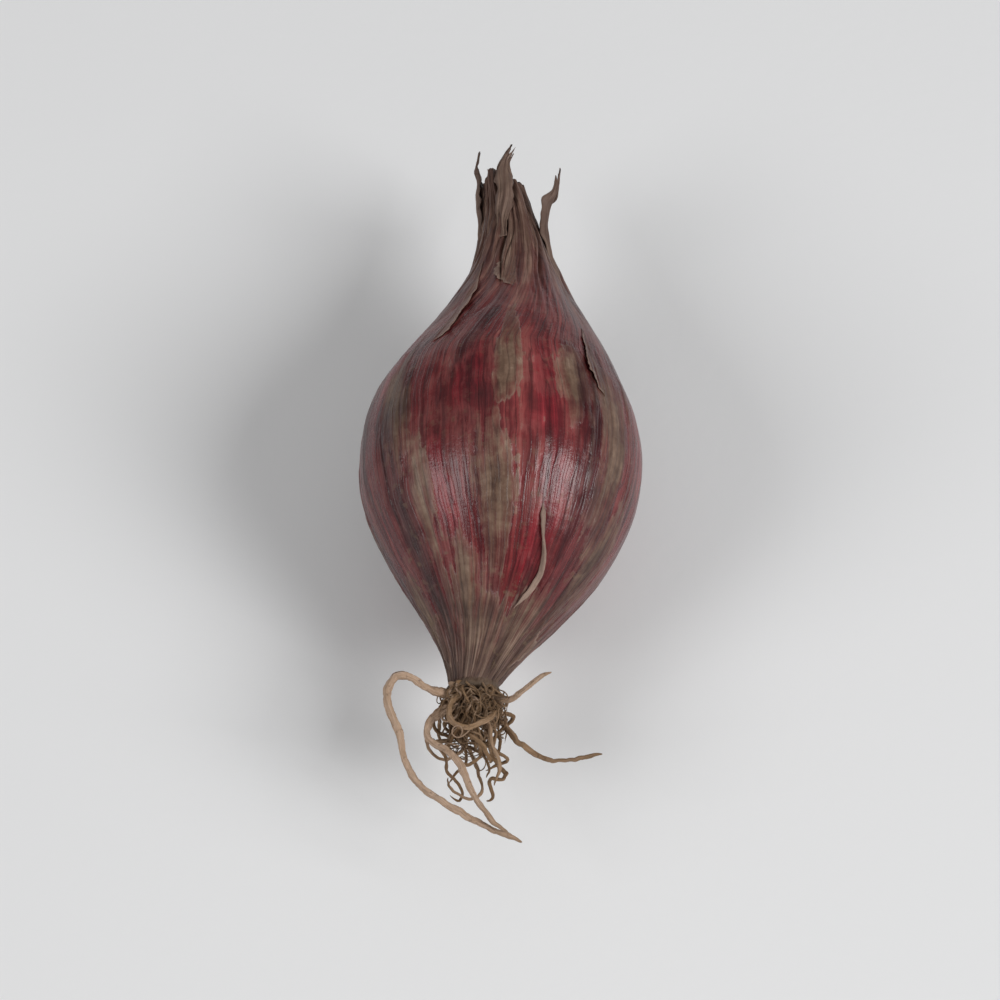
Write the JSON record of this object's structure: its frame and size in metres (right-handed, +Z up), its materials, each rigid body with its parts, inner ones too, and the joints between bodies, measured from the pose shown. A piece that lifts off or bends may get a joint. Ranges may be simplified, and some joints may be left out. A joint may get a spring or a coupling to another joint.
{
  "type": "red onion bulb",
  "caption": "Small red onion lying on its side, with a dried neck, papery leaf ends and a curly tuft of dried roots.",
  "frame": {"origin": "middle of the footprint of the whole onion, roots and neck included, on the surface that it rests on", "axes": "+Y along the onion from its roots to its neck, +Z up, +X to the right seen from above with the neck pointing away"},
  "size_m": [0.0214, 0.0574, 0.0204],
  "materials": {
    "onion_skin": "satin",
    "dried_root": "matte",
    "dried_leaf": "matte"
  },
  "bodies": {
    "root": {"bulb": "onion_skin", "root_01": "dried_root", "root_02": "dried_root", "root_03": "dried_root", "root_04": "dried_root", "root_05": "dried_root", "root_06": "dried_root", "root_07": "dried_root", "root_08": "dried_root", "root_09": "dried_root", "root_10": "dried_root", "root_11": "dried_root", "root_12": "dried_root", "root_13": "dried_root", "root_14": "dried_root", "root_15": "dried_root", "root_16": "dried_root", "root_17": "dried_root", "root_18": "dried_root", "root_19": "dried_root", "root_20": "dried_root", "neck_shred_01": "dried_leaf", "neck_shred_02": "dried_leaf", "neck_shred_03": "dried_leaf"}
  },
  "joints": []
}
